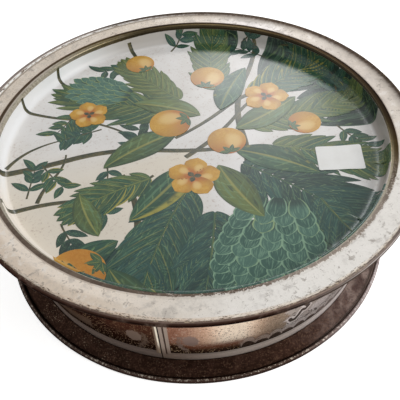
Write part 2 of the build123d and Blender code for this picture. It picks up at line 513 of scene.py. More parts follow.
def lid_paint():
    """The lid: off-white varnished dish, tan line, dark ridge, worn band and dark rolled edge."""
    p = Paint("lid_sheet_paint")
    run = p.attribute("run")
    fine = p.noise(0.9, 3, 0.65, seed=1)
    cloud = p.noise(26, 3, 0.55, seed=2)
    blotch = p.noise(6, 5, 0.62, 0.4, seed=3)
    ragged = p.noise(2.2, 4, 0.7, seed=4)
    right = p.near(80, 40, 68)
    left = p.near(-130, 50, 72)

    # Dish. Its side is painted whiter than its floor, a painted highlight, and darker on the right
    # and the far side, painted shade
    speckle = p.rise(p.noise(1.7, 4, 0.7, seed=5), 0.54, 0.68) * p.rise(cloud, 0.35, 0.6)
    on_side = p.between(p.radius, 104.5, 112.0, 1.2)
    dish = p.coats(
        "f0efee",
        (p.rise(cloud, 0.3, 0.75), "e2dfdb"),
        (p.near(-45, 20, 60) * 0.7, "e5dac6"),
        (speckle * 0.6, "b8a497"),
        (p.rise(p.noise(3.6, 6, 0.75, 1.2, seed=6), 0.6, 0.68) * 0.45, "a59486"),
        (on_side * 0.95, p.mix(p.near(-45, 15, 45), "fbfcfd", "fdf3e6")),
        (p.near(85, 30, 70) * on_side * 0.85, "a0978e"),
        (p.near(175, 20, 50) * on_side * 0.7, "a39c92"),
    )

    # Lines round the mouth of the dish. The far side is painted darker from the ridge down into
    # the dish, as painted shade, deepest towards the back right and the back
    far_shade = p.near(146, 62, 92)
    deep = p.near(118, 22, 45)
    tan = p.near(-115, 35, 60)
    end = p.math("COSINE", p.turn * math.radians(1)) * PICTURE_SHIFT + PICTURE_RUN - tan * 1.2
    shaded = p.near(172, 22, 40)
    edge_colour = p.coats(
        "a79f8d",
        (p.rise(fine, 0.42, 0.6), "bdb5a5"),
        (far_shade, p.mix(p.rise(fine, 0.4, 0.62), "5b543d", "72654c")),
        (deep, "2d281e"),
        (tan * p.rise(p.noise(1.3, 3, 0.7, seed=15), 0.5, 0.6) * 0.6, "7d7566"),
        (shaded * 0.8, "1f180e"),
    )
    past_end = p.rise(run - end + ragged * 0.5, 0.1, 0.45)
    flaked = p.rise(p.noise(1.3, 5, 0.8, seed=7, place=p.around(112, 1.6)), 0.51, 0.57)
    flaked = flaked * p.blend(p.near(45, 35, 65), 0.1, 1.0) * p.rise(far_shade, 1.0, 0.0)
    ridge = p.coats(
        "54483f",
        (p.rise(blotch, 0.35, 0.7), "685b50"),
        (p.near(50, 22, 45), "857b72"),
        (p.near(78, 10, 24) * 0.8, "584f47"),
        (tan, "4b4035"),
        (far_shade, p.mix(p.rise(blotch, 0.35, 0.7), "40351f", "544730")),
        (deep, "282017"),
        (shaded * 0.85, "18120a"),
        (flaked, p.mix(p.rise(fine, 0.4, 0.6), "66554a", "cbc1b5")),
    )
    dark_from = p.radius + ragged * 0.3 - tan * 0.1 + p.near(5, 35, 60) * 0.1
    on_ridge = p.rise(dark_from, 110.25, 110.6) | p.rise(p.radius, 108.9, 109.4) * deep
    # A painted highlight along the ridge's crest on the left
    crest_highlight = p.between(p.radius, 109.5, 110.4, 0.25) * tan * p.rise(far_shade, 0.5, 0.0)
    inner = p.coats(
        dish,
        (past_end, edge_colour),
        (on_ridge, ridge),
        (crest_highlight * 0.8, "c3b9ad"),
    )

    # Band. It is painted whiter at the front right and at the back as painted highlights, and
    # darker towards its outer edge at the back as painted shade
    outward = p.rise(p.radius, 114.5, 121.0)
    front_left = p.mix(p.rise(p.radius, 116.5, 120.5), "f2e5d6", "d8c7b4")
    grain = p.blend(left, 0.1, 0.42)
    stains = p.rise(p.noise(3.0, 4, 0.7, 0.6, seed=14), 0.56, 0.66)
    # Dirt and painted shade at the foot of the ridge
    dirt_and_shade = p.rise(p.radius - ragged * 0.9, 113.0, 112.4)
    band = p.coats(
        "d6cabb",
        (p.rise(cloud, 0.3, 0.7), "e1d9cf"),
        (p.near(38, 24, 54) * 0.9, "eae7e2"),
        (p.near(-45, 18, 42) * 0.8, front_left),
        (p.near(166, 12, 30) * 0.9, p.mix(outward, "e6e0de", "a39b93")),
        (p.near(118, 10, 30) * 0.7, p.mix(outward, "d2c8bf", "b9afa5")),
        (left * 0.7, "dbcebe"),
        (p.rise(blotch, 0.5, 0.7) * 0.5, "a9a39d"),
        (p.rise(blotch, 0.46, 0.36) * 0.4, "efebe6"),
        (p.rise(fine, 0.5, 0.66) * grain, "8b7a6c"),
        (p.rise(fine, 0.46, 0.36) * grain * 0.7, "e6dfd5"),
        (stains * 0.65, "8b8178"),
        (p.rise(p.noise(0.8, 3, 0.5, seed=8), 0.68, 0.72) * 0.7, "5e5047"),
        (dirt_and_shade * p.blend(p.near(25, 35, 65), 0.5, 0.1), "84705f"),
    )

    # Rolled edge, with the paint worn off beside it. The roll is painted darker towards its
    # underside, painted shade, and lighter on its top and its right side, with a painted highlight
    # line there
    wear = p.noise(0.9, 4, 0.75, seed=10, place=p.around(125, 4))
    worn = p.rise(wear, 0.48, 0.53)
    specks = p.rise(p.noise(0.7, 4, 0.75, seed=13, place=p.around(125, 2.5)), 0.53, 0.58)
    edge = p.radius + ragged * 0.6
    front = p.near(10, 75, 100)
    lit_front = p.near(28, 18, 45)
    flecks = p.between(edge, 124.3, 125.5, 0.2) * worn * front * p.blend(lit_front, 0.4, 0.75)
    chips = p.mix(p.rise(wear, 0.44, 0.49), "6a5848", "fdfbf7")
    streak = p.noise(4, 3, 0.65, seed=17, place=p.around(123, 0.35))
    # Painted shade over the band's outer edge and the roll on the far side, in streaks
    far_edge_shade = p.rise(edge + streak * 1.8 + p.near(150, 25, 50) * 1.2, 122.4, 126.0)
    far_edge_shade = far_edge_shade * p.near(140, 56, 76)
    lit_roll = p.mix(p.rise(p.z, 72.2, 73.2), "4a423e", "5c534e")
    lit_line = p.mix(p.rise(p.turn, 28, 50), "7a726d", "c4bcba")
    lit_roll = p.mix(p.between(p.z, 72.45, 72.85, 0.12), lit_roll, lit_line)
    roll = p.coats(
        "1a0d08",
        (p.rise(p.z, 72.3, 73.1), "38261f"),
        (p.rise(p.z, 73.1, 73.5), p.mix(p.near(5, 15, 55), "3c2d26", "63534b")),
        (right, lit_roll),
        (p.rise(blotch, 0.5, 0.75) * 0.3, "8a786d"),
    )
    on_roll = p.rise(edge, 125.45, 125.65)
    # Beside the roll the band darkens into the roll's brown, lighter at the front right as painted
    # light, and a painted shadow line runs round it on the left
    outer = p.coats(
        band,
        (p.rise(edge, 124.0, 125.4) * front * 0.8, p.mix(lit_front, "8b7969", "bdae9f")),
        (p.between(edge, 123.8, 125.4, 0.3) * p.near(-8, 14, 34) * 0.4, "dcbfa4"),
        (p.between(edge, 124.0, 125.6, 0.2) * specks * front, "4a392f"),
        (flecks, "efe6d8"),
        (p.between(edge, 120.9, 121.9, 0.35) * left * 0.8, "8a7c6c"),
        (p.between(edge, 122.3, 123.8, 0.2) * left, chips),
        (p.rise(edge, 124.1, 124.4) * left, "807672"),
        (far_edge_shade, p.mix(p.rise(streak, 0.42, 0.58), "3a302a", "221b16")),
        (p.near(143, 42, 78) * p.rise(edge, 118.5, 123.0) * 0.35, "5a5048"),
        (on_roll * p.rise(left, 0.6, 0.3) * p.rise(far_edge_shade, 0.4, 0.1), roll),
        (on_roll * specks * p.rise(edge, 126.3, 125.7) * 0.6, "c7b79c"),
    )

    # The line where the worn band begins
    far = far_shade | tan
    chipped = p.noise(1.1, 4, 0.75, seed=16, place=p.around(112, 1.5)) - 0.5
    worn_out = p.near(12, 10, 55) * 0.8 + p.near(32, 25, 45) * chipped * 5
    is_outer = p.rise(p.radius + ragged * 0.3 - far * 0.35 + deep * 0.3 + worn_out, 112.5, 112.8)

    on_band = p.rise(p.radius, 112.4, 113.0)
    rough = p.blend(on_band, 0.24 + cloud * 0.1, 0.36 + blotch * 0.2)
    rough = p.blend(on_roll, rough, 0.4 + fine * 0.15)
    dark_edge = on_roll | far_edge_shade | left * p.rise(edge, 124.1, 124.4)
    inner_metal = on_ridge * p.blend(flaked, 0.9, 0.5) | past_end * far_shade * 0.9
    metal = p.blend(is_outer, inner_metal, p.blend(dark_edge, 0.25, 0.95))
    p.bump(p.noise(0.5, 2, seed=11) * 0.006 + blotch * 0.02 - on_roll * specks * 0.02)
    p.bump(p.noise(40, 1, seed=12) * 0.25)
    top = p.mix(is_outer, inner, outer)
    return printed_sheet(p, top, rough, metal, "a89e95", p.attribute("back"), 20)


def wall_paint():
    """The wall: copper-toned metal with a dark engraved print, bordered at foot and seam."""
    p = Paint("wall_sheet_paint")
    seam = math.degrees(SEAM_ANGLE) + 90
    mm_per_degree = math.radians(1) * 104
    flat = p.joined(p.turn * mm_per_degree, p.z, 0.0)
    fine = p.noise(0.6, 2, 0.6, seed=31)
    cloud = p.noise(18, 3, 0.55, seed=32)
    ragged = p.noise(1.5, 3, 0.7, seed=34)
    worms = p.rise(abs(p.noise(1.4, 1, 0.4, 2.2, seed=33) - 0.5), 0.05, 0.025)
    behind_tin = p.rise(p.turn, -110, -165)
    left = p.rise(p.turn, -12.4, -13.0) * p.rise(p.turn, -165, -110)
    off_left = p.rise(left, 1.0, 0.0)
    ragged_side = p.turn + ragged * 5 + p.math("SINE", p.z * 0.8) * 0.7
    right = p.rise(ragged_side, 27.2, 27.7) | behind_tin
    far_right = p.rise(p.turn, 18, 32) | behind_tin

    # Copper with a painted highlight a little right of the front, painted darker towards the foot
    # as a painted reflection of the dark flange. Left of the seam it is dark brown, a dark print
    # that also stands in for painted shade
    copper = p.coats(
        "91604a",
        (p.rise(p.turn, -9, 7), "f2cbad"),
        (p.near(9, 2, 9), "ffecd6"),
        (p.rise(p.turn, 11, 22), "a5917d"),
        (p.rise(p.z, 25, 18.5) * p.rise(p.turn, 24, 8), "7d482f"),
    )
    ground = p.mix(p.rise(p.z, 14, 25), "24150d", "36231b")
    ground = p.mix(p.near(-19, 4, 16) * p.rise(p.z, 24, 32), ground, "472e24")
    field = p.mix(left, p.mix(p.rise(cloud, 0.35, 0.7) * 0.15, copper, "80604b"), ground)

    # Engraved dots: sparse and dark on the copper, light ones on the dark parts
    grainy = p.noise(0.9, 3, 0.75, seed=41, place=flat)
    dots = p.rise(p.cells(1.3, flat), 0.32, 0.22) * p.rise(cloud, 0.64, 0.5)
    stipple = p.rise(p.cells(0.95, flat), 0.36, 0.22)
    dust = stipple * p.blend(p.rise(p.noise(7, 3, 0.6, seed=38), 0.32, 0.46), 0.45, 1.0)
    low_down = p.rise(p.z + ragged * 4 + p.rise(p.turn, -7.5, -3) * 5, 26.5, 21.5)
    low_down = low_down * p.rise(left | right, 1.0, 0.0)
    grains = p.rise(p.cells(1.15, flat), 0.34, 0.2) * low_down
    field = p.coats(
        field,
        (p.rise(grainy, 0.52, 0.66) * off_left * 0.45, "6f4733"),
        (p.rise(grainy, 0.47, 0.34) * off_left * 0.35, "fff3e2"),
        (dots * off_left * 0.75, "6b412d"),
        (worms * p.rise(p.turn, 12, 19) * 0.6, "56463a"),
        (stipple * p.rise(p.turn, 14, 20) * 0.6, "5d5140"),
        (dust * left * 0.85, "8f7760"),
        (low_down, "2b1a11"),
        (grains * 0.85, "cbb08e"),
    )

    # A blob with a feathered curl beside it on each side of the seam
    teeth = p.cells(1.1, flat) * 0.3 + (ragged - 0.5) * 0.9
    for turn, high, side, shade, curl_shade in (
        (-20.1, 25.0, 1, "75645a", "66554a"), (-3.6, 25.6, -1, "917a70", "7f6c62"),
    ):
        curl = p.between(p.oval(turn - side * 0.5, high - 1.2, 4.0, 9.6) + teeth, 0.98, 1.28, 0.04)
        curl = curl * p.rise((p.turn - turn) * side, 0.2, 1.4) * p.rise(p.z, 31, 29)
        field = p.mix(curl * 0.85, field, curl_shade)
        field = p.mix(p.rise(p.oval(turn, high, 2.4, 5.0) + teeth, 1.2, 1.1), field, shade)

    # Scrolls towards the right and round the back: cloudy ones, and over them a row of tall
    # ones, each with a curl at its top and a hook at its foot
    curl = p.noise(9, 1, 0.4, 1.9, seed=35)
    outline = p.rise(abs(curl - 0.54), 0.024, 0.014)
    rows = p.rise(p.cells(1.5, flat), 0.38, 0.24)
    hook = [(1.4, 42.6), (2.5, 40.6), (4.2, 41.6), (4.7, 45.0), (3.3, 48.6), (0.7, 49.6),
            (-1.6, 46.4), (-2.2, 41.4), (-0.9, 36.8), (1.4, 32.8), (2.8, 29.4), (1.8, 27.6),
            (0.5, 28.8), (-0.4, 25.6), (-1.6, 22.6), (-2.9, 22.8), (-3.5, 25.0)]
    hook = [(turn * mm_per_degree, high) for turn, high in hook]
    beside = p.math("WRAP", p.turn - 29.8, 12.0, -12.0) * mm_per_degree
    drawn = p.stroke(beside, p.z, hook) + ragged * 0.8
    strong = p.near(32, 8, 14)
    scroll = p.coats(
        "e6dcd9",
        (p.rise(curl, 0.53, 0.55), "c6bab4"),
        (p.near(32, 6, 12) * p.rise(p.z, 25, 30) * 0.8, "b3a79f"),
        (worms * 0.5, "8f837d"),
        (stipple * p.blend(p.rise(curl, 0.55, 0.57), 0.25, 0.55), "7d7069"),
        (outline * p.blend(p.near(32, 6, 16), 0.55, 0.9), "4b3f38"),
        (rows * 0.45, "857972"),
        (p.rise(drawn, 2.9, 2.5) * p.blend(strong, 0.35, 1.0), "e6dcd8"),
        (p.rise(drawn, 1.75, 1.4) * p.blend(strong, 0.75, 1.0), p.mix(strong, "a99d96", "493d36")),
    )
    field = p.mix(right, field, scroll)

    # Dark lobes along the foot, with a pale band over them
    sweep = (p.turn - 11.2) * math.radians(42)  # a whole number of lobes round the tin
    lobe = p.math("SQRT", abs(p.math("SINE", sweep)))
    over = p.z - lobe * (p.noise(9, 1, seed=36) * 7 + 1) * p.blend(right, 1.0, 0.7) - 12.6
    lobed = p.rise(p.turn, 10.6, 11.0) | behind_tin
    pale = p.mix(far_right, "b5a398", "e4dad6")
    band = lobed * p.rise(over - ragged * 3, 2.3, 2.1)
    on_lobe = lobed * p.rise(over + ragged * 0.8, 0.55, 0.3)
    dark_lobe = p.mix(far_right, "33251d", "584b44")
    dark_lobe = p.mix(p.rise(p.turn, 35, 40) | behind_tin, dark_lobe, "8a7d77")
    field = p.coats(
        field,
        (lobed * p.between(over - ragged * 3, 2.2, 2.9, 0.15) * 0.6, "46382e"),
        (band * p.rise(worms, 1.0, 0.2) * p.blend(stipple, 1.0, 0.4), pale),
        (on_lobe, p.mix(stipple * 0.4, dark_lobe, "8a786a")),
    )

    # Borders
    # The border strip is painted lighter towards the right, as painted light
    strip = p.coats(
        "897669",
        (p.rise(p.turn, -14, 16) | behind_tin, "c6b8ae"),
        (p.rise(p.turn, 18, 45) | behind_tin, "e4dad6"),
        (left, "83736a"),
        (p.rise(fine, 0.5, 0.7) * 0.3, "6d625b"),
    )
    foot = p.rise(p.z - left * 0.7, 12.3, 12.1)
    foot_strip = p.mix(p.rise(p.z, 9.6, 10.8) * 0.3, strip, "3b302a")
    panel_end = p.near(-60, 25.0, 25.6)
    patch = p.rise(p.z, 15.6, 17.0) * p.rise(p.z - p.turn * 0.4 + ragged * 3, 40.9, 39.1)
    off = (p.turn - seam) * mm_per_degree - 0.1
    # A painted highlight along the lap's edge, brighter higher up
    lit_line = p.mix(p.rise(p.z, 15, 24), "9c8872", "fff6e2")
    seam_strip = p.coats(
        strip,
        (p.rise(p.z, 11, 20), "a8978b"),
        (p.between(off, -3.6, -1.7, 0.1), "806c5a"),
        (p.between(off, -1.3, -0.5, 0.12), lit_line),
        (p.between(off, -0.3, 0.35, 0.1), "1f1510"),
        (p.between(off, 2.3, 3.0, 0.1), "3c2a21"),
    )
    at_seam = p.between(off, -2.75, 4.9, 0.06) * p.rise(p.z, 10.6, 10.8)
    field = p.coats(
        field,
        (p.between(p.z, 12.2, 13.0, 0.2) * 0.7, "24170f"),
        (patch * panel_end * p.blend(dust, 0.75, 0.4), "635247"),
        (foot, foot_strip),
        (at_seam, seam_strip),
        (p.between(off, -0.3, 0.35, 0.1), "1f1510"),
    )

    outside = p.attribute("back")
    border = foot | at_seam
    dark = left | low_down | on_lobe
    rough = 0.27 + dark * 0.2 + cloud * 0.1 + border * 0.15
    metal = p.blend(border, p.blend(dark, 0.6, 0.95), 0.6)
    p.bump(dark * outside * -0.012 + p.noise(0.6, 2, seed=37) * 0.006)
    p.bump(p.noise(30, 1, seed=39) * 0.2)
    return printed_sheet(p, field, rough, metal, "9a8f88", 1.0 - outside, 40)


def base_paint():
    """The base: dark brown lacquer outside, worn on its rolled edge, plain tin inside."""
    p = Paint("base_sheet_paint")
    fine = p.noise(0.9, 3, 0.65, seed=51)
    blotch = p.noise(5, 5, 0.65, 0.4, seed=52)
    right = p.near(92, 24, 68)
    patch = p.noise(13, 3, 0.6, seed=57)
    # A painted sheen on the right of the base, and painted light just inside its roll there
    lit = p.mix(p.rise(blotch, 0.36, 0.64), "51403c", "8a7a73")
    lit = p.mix(p.rise(patch, 0.46, 0.62) * 0.6, lit, "3b2a28")
    clumps = p.noise(9, 2, seed=56) + p.near(-30, 15, 40) * 0.1 - 0.06
    flecks = p.rise(p.noise(0.7, 3, 0.6, seed=53), 0.6, 0.67) * p.rise(clumps, 0.5, 0.62)
    brown = p.coats(
        "20130d",
        (p.rise(blotch, 0.35, 0.7), "33221b"),
        (right, lit),
        (p.rise(fine, 0.52, 0.64) * 0.4, "5d4739"),
        (p.rise(fine, 0.44, 0.36) * 0.5, "160d09"),
        (flecks * 0.7, "a08e7a"),
        (p.between(p.radius, 108.9, 110.3, 0.3) * right * 0.7, "b3a49c"),
    )

    # Rolled edge, painted lighter on the right and along its top and darker on the left, painted
    # light and shade, and a painted shadow in the crease inside it
    out = p.radius + p.noise(1.6, 4, 0.7, seed=54) * 0.3
    speck = p.rise(p.noise(0.55, 4, 0.75, seed=55, place=p.around(112, 2.2)), 0.52, 0.58)
    on_top = p.between(p.radius, 111.2, 112.2, 0.25) | right
    speck_share = p.blend(p.near(-75, 30, 50), 0.6, 0.35)
    pit = p.rise(p.noise(0.8, 3, 0.7, seed=58, place=p.around(112, 2)), 0.56, 0.62)
    roll = p.coats(
        "30221c",
        (right, "a29492"),
        (p.near(-75, 30, 60) * 0.6, "241b17"),
        (on_top * p.rise(right, 1.0, 0.0) * 0.3, "5d4e46"),
        (speck * p.blend(right, speck_share, 0.85) * on_top, p.mix(right, "c6bcae", "e6e0e0")),
        (p.rise(p.radius, 111.9, 111.3) * right * 0.45, "3d302d"),
        (pit * right * 0.7, "4f4240"),
    )
    on_roll = p.rise(out - right * 0.7, 110.6, 110.8)
    base = p.mix(on_roll, brown, roll)
    # A painted shadow in the crease, darker on the left
    crease = p.between(out - p.rise(p.turn, -20, 5) * 0.8, 109.6, 110.5, 0.25)
    base = p.mix(crease * p.blend(p.rise(p.turn, -35, 0), 0.85, 0.6), base, "110906")

    bare = p.rise(p.radius, 99.9, 99.5) | p.attribute("back") * p.rise(p.radius, 108.8, 108.4)
    rough = 0.36 + blotch * 0.25
    p.bump(blotch * 0.03 + fine * 0.012)
    return printed_sheet(p, base, rough, p.blend(right, 0.85, 0.5), "8a7f78", bare, 60)


def dish_profile():
    """Run, radius and height along the dish's face, from its middle to the top of its picture."""
    face = lid_face()
    return [(run, point) for run, point in zip(runs_along(face), face) if point.x < 112 * MM]


PROFILE = dish_profile()


def on_dish(place, level):
    """A place of the flat picture, laid on the dish and raised by a level."""
    run = place.length
    angle = math.atan2(place.y, place.x)
    for (run_a, a), (run_b, b) in zip(PROFILE, PROFILE[1:]):
        if run <= run_b:
            break
    along = (b - a).normalized()
    point = a.lerp(b, (run - run_a) / (run_b - run_a)) + Vector((-along.y, along.x)) * level
    point += lid_uneven(point, angle % math.tau, 0)
    return point.x * math.cos(angle), point.x * math.sin(angle), point.y


def picture_end(angle):
    """Distance along the dish from its middle to the picture's end, towards an angle."""
    return (PICTURE_RUN + PICTURE_SHIFT * math.cos(angle + math.pi / 2)) * MM


# Heights over the dish's face: the underside of every printed shape, the top of the first
# one, and the step up to the next
EMBED = -0.05 * MM
FIRST_LEVEL = 0.03 * MM
LEVEL_STEP = 0.001 * MM
BEND_RUN = 112.0 * MM  # past here the dish turns into the ridge, and shapes get finer pieces
FINE_PIECE = 0.5 * MM


def finer(rows):
    """The same rows of places with more between them."""
    result = [rows[0]]
    for here, there in zip(rows, rows[1:]):
        reach = max((b - a).length for a, b in zip(here, there))
        far = max(place.length for place in here + there) > BEND_RUN
        count = math.ceil(reach / FINE_PIECE) if far else 1
        for step in range(1, count + 1):
            result.append([a.lerp(b, step / count) for a, b in zip(here, there)])
    return result


def transposed(rows):
    return [list(row) for row in zip(*rows)]


class Picture:
    """The dish's printed picture: thin shapes laid on it, each a little above the last."""

    def __init__(self):
        self.places, self.faces, self.slots = [], [], []
        self.along, self.across, self.tone = [], [], []
        self.level = FIRST_LEVEL

    def shape(self, rows, slot, tone):
        """Adds a shape from its rows of places, cut off where it would leave the picture."""
        self.level += LEVEL_STEP / 5
        if max(place.length for row in rows for place in row) > BEND_RUN:
            rows = transposed(finer(transposed(finer(rows))))
        count = len(rows[0])
        ids, cut = {}, {}
        for i, row in enumerate(rows):
            for j, place in enumerate(row):
                end = picture_end(math.atan2(place.y, place.x))
                cut[i, j] = place.length > end
                ids[i, j] = place * (end / place.length) if cut[i, j] else place
        quads = []
        for i in range(len(rows) - 1):
            for j in range(count - 1):
                corners = [(i, j), (i + 1, j), (i + 1, j + 1), (i, j + 1)]
                if not all(cut[corner] for corner in corners):
                    quads.append(corners)
        used = sorted({corner for quad in quads for corner in quad})
        first = len(self.places)
        number = {corner: first + n for n, corner in enumerate(used)}
        for level in (self.level, EMBED):
            for i, j in used:
                self.places.append(on_dish(ids[i, j], level))
                self.along.append(i / (len(rows) - 1))
                self.across.append(2 * j / (count - 1) - 1)
                self.tone.append(tone)
        shift = len(used)
        borders = {}
        for quad in quads:
            top = [number[corner] for corner in quad]
            self.faces.append(top)
            self.faces.append([n + shift for n in reversed(top)])
            self.slots += [slot, slot]
            for a, b in zip(top, top[1:] + top[:1]):
                borders[a, b] = True
        for a, b in borders:
            if (b, a) not in borders:
                self.faces.append([b, a, a + shift, b + shift])
                self.slots.append(slot)

    def finished(self, name, materials):
        piece = smooth_piece(name, self.places, self.faces, 40, materials,
                             along=self.along, across=self.across, tone=self.tone)
        piece.data.polygons.foreach_set("material_index", self.slots)
        return piece


LEAF, BRANCH, FRUIT, SCALE = 0, 1, 2, 3  # the picture's materials, in its own order
STATION = 2.0 * MM  # between the places along a blade or twig
chance = random.Random(7)


def bow(start, heading, length, bend, count):
    """Places along a bowed line, with the direction at each. Degrees, bend over all of it."""
    here = Vector(start)
    result = []
    for step in range(count + 1):
        facing = math.radians(heading + bend * step / count)
        way = Vector((math.cos(facing), math.sin(facing)))
        result.append((here.copy(), way))
        here += way * length / count
    return result


def blade(picture, start, heading, length, width, bend, slot, tone, fullest=0.4, lines=3,
          stalk=0.02):
    """A leaf, pointed at both ends and widest at a share of its length."""
    count = max(5, math.ceil(length / STATION))
    rows = []
    for step, (here, way) in enumerate(bow(start, heading, length, bend, count)):
        t = step / count
        u = t / fullest * 0.5 if t < fullest else 0.5 + (t - fullest) / (1 - fullest) * 0.5
        least = stalk if t < fullest else 0.02
        half = width / 2 * (least + (1 - least) * math.sin(math.pi * u) ** 0.8)
        side = Vector((-way.y, way.x))
        rows.append([here + side * half * (2 * j / (lines - 1) - 1) for j in range(lines)])
    picture.shape(rows, slot, tone)


def frond(picture, start, heading, length, bend, leaflet, width, pairs, tone):
    """A feathered leaf: a rib with a blade each side at every step along it."""
    picture.level += LEVEL_STEP
    steps = bow(start, heading, length, bend, pairs)
    for step, (here, way) in enumerate(steps):
        t = step / pairs
        facing = math.degrees(math.atan2(way.y, way.x))
        size = leaflet * (0.45 + 1.1 * math.sin(math.pi * (0.12 + 0.8 * t)) ** 0.8) / 1.5
        for side in (-1, 1):
            turn = side * (50 - 22 * t + chance.uniform(-4, 4))
            blade(picture, here, facing + turn, size * chance.uniform(0.88, 1.08), width,
                  -side * chance.uniform(10, 24), LEAF, tone + chance.uniform(-0.14, 0.14),
                  stalk=0.4)
    blade(picture, steps[-1][0], heading + bend, leaflet * 0.55, width, 0, LEAF, tone)
    picture.level += LEVEL_STEP
    rib = [here for here, way in steps]
    stem(picture, rib, 1.5 * MM, 0.5 * MM, LEAF, min(tone + 0.35, 1))


def stem(picture, places, thick, thin, slot, tone):
    """A branch through the places, thinner towards its end."""
    rows = []
    for n, here in enumerate(places):
        before, after = places[max(n - 1, 0)], places[min(n + 1, len(places) - 1)]
        way = (after - before).normalized()
        half = (thick + (thin - thick) * n / (len(places) - 1)) / 2
        side = Vector((-way.y, way.x)) * half
        rows.append([here - side, here, here + side])
    picture.shape(rows, slot, tone)


def twig(picture, start, heading, length, bends, thick, thin):
    """A branch that bends one way and then the next. Returns its places."""
    picture.level += LEVEL_STEP
    places = [Vector(start)]
    for bend in bends:
        count = math.ceil(length / len(bends) / STATION)
        steps = bow(places[-1], heading, length / len(bends), bend, count)
        places += [here for here, way in steps[1:]]
        heading += bend
    stem(picture, places, thick, thin, BRANCH, 0.5)
    return places


def sprig(picture, start, heading, length, leaves, size, tone):
    """A thin twig with a small leaf each side at every step along it, the last step at its end."""
    places = twig(picture, start, heading, length, (chance.uniform(-25, 25),), 1.1 * MM, 0.5 * MM)
    picture.level += LEVEL_STEP
    for n in range(leaves):
        here = places[round((n + 1) / leaves * (len(places) - 1))]
        for side in (-1, 1):
            blade(picture, here, heading + side * chance.uniform(30, 65),
                  size * chance.uniform(0.8, 1.2), size * 0.42, chance.uniform(-20, 20), LEAF,
                  tone + chance.uniform(-0.1, 0.1))


def fruit(picture, centre, size, tone, lean):
    """A round fruit with a few small leaves where it hung. Its rows run across it."""
    picture.level += LEVEL_STEP
    way = Vector((math.cos(math.radians(lean)), math.sin(math.radians(lean))))
    side = Vector((-way.y, way.x))
    rows = []
    for n in range(19):
        turn = math.pi * n / 18
        half = size / 2 * max(math.sin(turn), 0.02)
        here = Vector(centre) - way * math.cos(turn) * size / 2
        rows.append([here + side * half * (j / 4 - 1) for j in range(9)])
    picture.shape(rows, FRUIT, tone)
    picture.level += LEVEL_STEP
    for turn in (-64, -20, 30, 72):
        blade(picture, Vector(centre) - way * size * 0.46, lean + turn, size * 0.3, size * 0.13,
              turn / 4, LEAF, 0.75)


def cone(picture, start, heading, length, width, ranks, tone):
    """A plump cone of scales. Those nearer the stalk lie on the ones before them."""
    steps = bow(start, heading, length, 8, ranks)
    for n in reversed(range(ranks)):
        here, way = steps[n]
        side = Vector((-way.y, way.x))
        across = width * math.sin(math.pi * (0.16 + 0.74 * n / ranks)) ** 0.8
        count = max(2, round(across / width * 5)) + n % 2
        picture.level += LEVEL_STEP
        for k in range(count):
            off = (k + 0.5) / count - 0.5
            facing = math.degrees(math.atan2(way.y, way.x)) + off * 62
            blade(picture, here + side * off * across, facing + chance.uniform(-4, 4),
                  length / ranks * 2.5, width / 4.2, 0, SCALE, tone + chance.uniform(-0.2, 0.2),
                  0.62, 7, 0.5)


def blossom(picture, centre, size, turn):
    """Five round petals and a small dark middle."""
    picture.level += LEVEL_STEP
    for n in range(5):
        blade(picture, centre, turn + n * 72, size, size * 0.85, chance.uniform(-8, 8), FRUIT,
              0.1, 0.66, 7, 0.1)
    picture.level += LEVEL_STEP
    for n in range(3):
        blade(picture, centre, turn + n * 120, size * 0.3, size * 0.22, 0, BRANCH, 0.5, 0.5)


def print_paint(name, shade):
    """A printed shape under the dish's clear varnish."""
    p = Paint(name)
    base = shade(p, p.attribute("along"), p.attribute("across"), p.attribute("tone"))
    rough = 0.22 + p.noise(20, 2, seed=70) * 0.08
    return p.finished(base, rough, 0.0, **{"Specular IOR Level": 0.35})


def leaf_shade(p, along, across, tone):
    """Blue-green to olive by the shape's tone, with fine strokes along it and a pale rib."""
    off_rib = abs(across)
    wash = p.noise(6, 3, 0.6, seed=71)
    strokes = p.noise(0.1, 3, 0.65, 0.2, place=p.joined(along * 0.3, across * 0.55, tone * 9))
    tinted = tone + wash * 0.3
    barbs = p.math("SINE", (along * 46 + off_rib * 9) + strokes * 5)
    yellow = p.rise(across, 0.5, 0.8) * p.rise(tinted, 0.62, 0.7) * p.rise(tinted, 0.84, 0.76)
    return p.coats(
        "1f3029",
        (p.rise(tinted, 0.0, 0.35), "2b504b"),
        (p.rise(tinted, 0.35, 0.65), "31563f"),
        (p.rise(tinted, 0.8, 1.1), "68763f"),
        (p.rise(barbs, 0.72, 0.98) * p.rise(wash, 0.42, 0.6) * 0.5, "86a06b"),
        (p.rise(strokes, 0.5, 0.66) * 0.5, "6b9070"),
        (p.rise(strokes, 0.46, 0.36) * 0.6, "1a3230"),
        (p.rise(across, -0.2, 0.2) * 0.3, "183029"),
        (p.rise(off_rib, 0.7, 1.0) * 0.4, "1d332d"),
        (yellow * 0.75, "b3a850"),
        (p.rise(off_rib, 0.12, 0.03) * p.rise(tone, 0.1, 0.6) * 0.6, "a5a058"),
    )


def scale_shade(p, along, across, tone):
    """Cone scales: blue-green, fine strokes along them and a thin pale rim."""
    off_rib = abs(across)
    strokes = p.noise(0.1, 3, 0.65, 0.2, place=p.joined(along * 0.2, across * 0.7, tone * 9))
    rim = p.rise(off_rib, 0.78, 0.95) | p.rise(along, 0.93, 0.98)
    return p.coats(
        "2a5045",
        (p.rise(tone + strokes * 0.3, 0.2, 0.9), "4b7062"),
        (p.rise(strokes, 0.5, 0.62) * 0.5, "7fa48a"),
        (p.rise(along, 0.55, 0.1) * 0.8, "16302a"),
        (rim * 0.75, p.mix(p.rise(tone, 0.5, 0.7), "8fb294", "a9b45f")),
    )


